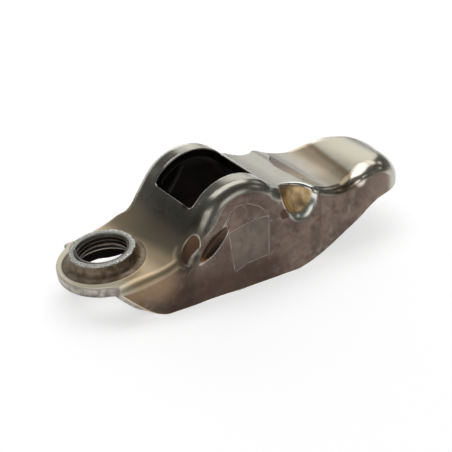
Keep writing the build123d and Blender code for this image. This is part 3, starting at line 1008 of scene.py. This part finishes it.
def ridge_group(finish):
    """Geometry nodes that wind a ridge of flat-topped section about the Z axis."""
    group = bpy.data.node_groups.new("thread_ridge", "GeometryNodeTree")
    face = group.interface
    face.new_socket("Geometry", in_out="INPUT", socket_type="NodeSocketGeometry")
    names = "Root Radius", "Pitch", "Depth", "Length"
    for name in names:
        face.new_socket(name, in_out="INPUT", socket_type="NodeSocketFloat")
    face.new_socket("Geometry", in_out="OUTPUT", socket_type="NodeSocketGeometry")
    tree = Tree(group)
    root, pitch, depth, length = (tree.node("NodeGroupInput", output=name) for name in names)
    middle = root - depth * 0.5
    values = {"Resolution": RIDGE_RUNS, "Rotations": length / pitch, "Height": length}
    values |= {"Start Radius": middle, "End Radius": middle}
    spiral = tree.node("GeometryNodeCurveSpiral", values)
    upright = tree.node("GeometryNodeSetCurveNormal", {"Curve": spiral}, {"mode": "Z_UP"})
    values = {"Bottom Width": pitch * RIDGE_FOOT, "Top Width": pitch * RIDGE_CREST}
    values |= {"Offset": 0, "Height": depth}
    section = tree.node("GeometryNodeCurvePrimitiveQuadrilateral", values, {"mode": "TRAPEZOID"})
    values = {"Curve": upright, "Profile Curve": section, "Fill Caps": True}
    ridge = tree.node("GeometryNodeCurveToMesh", values)
    solid = tree.node("GeometryNodeRealizeInstances", {"Geometry": ridge})
    values = {"Geometry": solid, "Material": finish}
    painted = tree.node("GeometryNodeSetMaterial", values)
    tree.node("NodeGroupOutput", {"Geometry": painted})
    return group


class ROCKER_OT_cut_thread(bpy.types.Operator):
    """Winds the thread's ridge inside the collar"""

    bl_idname = "rocker.cut_thread"
    bl_label = "Cut Thread"

    def execute(self, context):
        sizes = context.scene.rocker_collar
        group = ridge_group(threaded_steel())
        maker = add_object("ridge_maker", bpy.data.meshes.new("ridge_maker"))
        modifier = maker.modifiers.new("thread_ridge", "NODES")
        modifier.node_group = group
        wanted = {
            "Root Radius": sizes.thread_radius / MM + Collar.THREAD_SINK,
            "Pitch": sizes.pitch / MM,
            "Depth": sizes.depth / MM + Collar.THREAD_SINK,
            "Length": sizes.thread_length / MM,
        }
        for item in group.interface.items_tree:
            if item.name in wanted:
                modifier[item.identifier] = wanted[item.name]
        wound = maker.evaluated_get(context.evaluated_depsgraph_get())
        mesh = bpy.data.meshes.new_from_object(wound)
        bpy.data.objects.remove(maker)
        mesh.name = "collar_thread"
        bottom = Matrix.Translation((0, 0, -Collar.THREAD_TOP - sizes.thread_length / MM))
        mesh.transform(Collar.placement() @ bottom)
        seat(add_object("collar_thread", mesh))
        return {"FINISHED"}


# The torn edge's section: how far out of the collar's radius and above its top, and how ragged
BURR_SECTION = (
    (-0.35, -0.4, 0), (-0.2, -0.32, 0.2), (-0.06, -0.24, 0.6), (0, -0.18, 1), (0.02, -0.12, 1),
    (0.01, -0.06, 1), (-0.06, -0.02, 0.9), (-0.17, 0, 0.7), (-0.34, 0, 0.4), (-0.52, 0, 0.25),
    (-0.7, 0, 0.2), (-0.88, 0, 0.2), (-1, -0.02, 0.1), (-1.08, -0.08, 0), (-1.14, -0.18, 0),
    (-1.18, -0.32, 0), (-1.2, -0.5, 0), (-1.15, -0.7, 0), (-0.9, -0.75, 0), (-0.6, -0.7, 0),
)  # fmt: skip
BURR_TURNS = 420
BURR_WAVES = 3, 5, 11, 17, 29, 43
# How far the bumps and the waves throw the edge outwards and upwards, and how far it is torn down
BUMP_OUT, WAVE_OUT, BUMP_UP, WAVE_UP, TORN_DOWN = 0.35, 0.4, 0.45, 0.2, 0.6


class ROCKER_OT_burr_collar(bpy.types.Operator):
    """Makes the collar's torn upper edge and its smooth mouth"""

    bl_idname = "rocker.burr_collar"
    bl_label = "Burr Collar"

    def execute(self, context):
        sizes = context.scene.rocker_collar
        burr = sizes.burr / MM
        out, up, ragged = np.array(BURR_SECTION).T
        shape = BURR_TURNS, len(BURR_SECTION)
        random = np.random.default_rng(sizes.burr_seed)
        angles = np.arange(BURR_TURNS) / BURR_TURNS * tau
        bumps = random.normal(0, 1, shape)
        bumps = (bumps + np.roll(bumps, 1, 0) + np.roll(bumps, 1, 1)) / 2
        waves = sum(np.sin(angles * turn + random.uniform(0, tau)) for turn in BURR_WAVES) / 3
        waves = waves[:, None]
        radius = np.tile(sizes.radius / MM + out, (BURR_TURNS, 1))
        radius = radius + ragged * (bumps * BUMP_OUT + waves * WAVE_OUT) * burr
        height = np.tile(up, (BURR_TURNS, 1))
        height = height + ragged * (bumps * BUMP_UP - TORN_DOWN + waves * WAVE_UP) * burr
        across = radius * np.cos(angles)[:, None], radius * np.sin(angles)[:, None]
        points = np.stack((*across, height), axis=-1).reshape(-1, 3)
        matrix = np.array(Collar.placement())
        points = points @ matrix[:3, :3].T + matrix[:3, 3]
        index = np.arange(radius.size).reshape(shape)
        ahead, beside = np.roll(index, -1, 0), np.roll(index, -1, 1)
        faces = np.stack((index, ahead, np.roll(ahead, -1, 1), beside), axis=-1).reshape(-1, 4)
        piece = add_mesh("collar_burr", points, faces, burred_steel())
        add_mark(piece, "from_axis", radius.ravel())
        seat(piece)
        return {"FINISHED"}


# The stage, in metres: each lamp's direction from the arm, width, height and glow
LAMP_REACH = 0.7
LAMPS = {
    "rear": ((0.53, 0.73, 0.42), 0.5, 0.44, "rear"),
    "backdrop": ((0.05, 1, 0.22), 0.8, 0.3, "rear"),
    "front": ((0.12, -0.9, 0.43), 0.6, 0.26, "right"),
    "left": ((-0.86, -0.38, 0.34), 0.36, 0.3, "left"),
    "right": ((0.85, 0.12, 0.5), 0.14, 0.16, "right"),
    "side": ((0.79, -0.39, 0.47), 0.1, 0.14, "right"),
}
OVERHEAD_PLACE, OVERHEAD_WIDTH, OVERHEAD_HEIGHT = (0.09, 0.22, 0.6), 0.9, 0.42
FLOOR_GAP = 0.00005
FLOOR_COLOUR, FLOOR_GLOW = (0.8, 0.8, 0.8, 1), 0.62
STUDIO_DARK, STUDIO_WHITE = (0.08, 0.08, 0.08), (1, 1, 1)
CAMERA_PLACE, CAMERA_LENS = (-0.12780, -0.18750, 0.12692), 107.23
CAMERA_TURN, CAMERA_DROP = radians(33.95), radians(28.04)


def hang(thing, place, aim):
    """Puts a lamp or a camera at a place in metres, aimed along a direction."""
    holder = add_object(thing.name, thing)
    holder.location = place
    holder.rotation_euler = Vector(aim).to_track_quat("-Z", "Y").to_euler()
    return holder


def add_lamp(name, place, aim, width, height, radiance):
    """A soft rectangular lamp with an even glow."""
    lamp = bpy.data.lights.new(name, "AREA")
    lamp.shape = "RECTANGLE"
    lamp.size = width
    lamp.size_y = height
    lamp.energy = radiance * pi * width * height
    hang(lamp, place, aim)


class ROCKER_OT_set_stage(bpy.types.Operator):
    """Sets the pale floor, the soft lamps and the camera"""

    bl_idname = "rocker.set_stage"
    bl_label = "Set Stage"

    def execute(self, context):
        scene = context.scene
        sizes = scene.rocker_stage
        paint = Paint("pale_floor")
        matt = paint.node("ShaderNodeBsdfDiffuse", {"Color": FLOOR_COLOUR})
        shine = paint.node("ShaderNodeEmission", {"Strength": FLOOR_GLOW})
        both = paint.node("ShaderNodeAddShader", {0: matt, 1: shine})
        corners = np.array([(-1, -1, 0), (1, -1, 0), (1, 1, 0), (-1, 1, 0)])
        corners = corners * sizes.floor_width / 2
        floor = add_mesh("floor", corners, np.array([(0, 1, 2, 3)]), paint.end(both))
        floor.location.z = -FLOOR_GAP

        world = bpy.data.worlds.new("studio")
        scene.world = world
        world.use_nodes = True
        studio = Tree(world.node_tree)
        seen = studio.node("ShaderNodeLightPath", output="Is Camera Ray")
        values = {"Color": studio.mix(seen, STUDIO_DARK, STUDIO_WHITE)}
        backdrop = studio.node("ShaderNodeBackground", values)
        studio.node("ShaderNodeOutputWorld", {"Surface": backdrop})

        place = OVERHEAD_PLACE
        add_lamp("overhead", place, (0, 0, -1), OVERHEAD_WIDTH, OVERHEAD_HEIGHT, sizes.overhead)
        for name, (direction, width, height, size) in LAMPS.items():
            place = Vector(direction).normalized() * LAMP_REACH
            add_lamp(name, place, -place, width, height, getattr(sizes, size))

        camera = bpy.data.cameras.new("camera")
        camera.sensor_width = 36
        camera.lens = CAMERA_LENS
        camera.clip_start = 0.01
        ahead = cos(CAMERA_DROP)
        look = sin(CAMERA_TURN) * ahead, cos(CAMERA_TURN) * ahead, -sin(CAMERA_DROP)
        scene.camera = hang(camera, CAMERA_PLACE, look)
        scene.view_settings.view_transform = "Standard"
        return {"FINISHED"}


# Each group of sizes, with the makers that read it
GROUPS = {
    "rocker_colours": (Colours, ()),
    "rocker_shell": (ShellSizes, (ROCKER_OT_press_sheet,)),
    "rocker_collar": (CollarSizes, (ROCKER_OT_cut_thread, ROCKER_OT_burr_collar)),
    "rocker_stage": (StageSizes, (ROCKER_OT_set_stage,)),
}


class ROCKER_PT_panel(bpy.types.Panel):
    """Lists the arm's makers with their sizes and colours"""

    bl_idname = "ROCKER_PT_panel"
    bl_label = "Rocker Arm"
    bl_space_type = "VIEW_3D"
    bl_region_type = "UI"
    bl_category = "Rocker Arm"

    def draw(self, context):
        for name, (_, makers) in GROUPS.items():
            box = self.layout.box()
            sizes = getattr(context.scene, name)
            for size in sizes.__annotations__:
                box.prop(sizes, size)
            for maker in makers:
                box.operator(maker.bl_idname)


CLASSES = [group for group, _ in GROUPS.values()]
CLASSES += [maker for _, makers in GROUPS.values() for maker in makers]
CLASSES += [ROCKER_PT_panel]


def register():
    for thing in CLASSES:
        bpy.utils.register_class(thing)
    for name, (group, _) in GROUPS.items():
        setattr(bpy.types.Scene, name, PointerProperty(type=group))


def unregister():
    for name in GROUPS:
        delattr(bpy.types.Scene, name)
    for thing in reversed(CLASSES):
        bpy.utils.unregister_class(thing)


def main():
    register()
    bpy.ops.rocker.press_sheet()
    bpy.ops.rocker.cut_thread()
    bpy.ops.rocker.burr_collar()
    bpy.ops.rocker.set_stage()


if __name__ == "__main__":
    main()
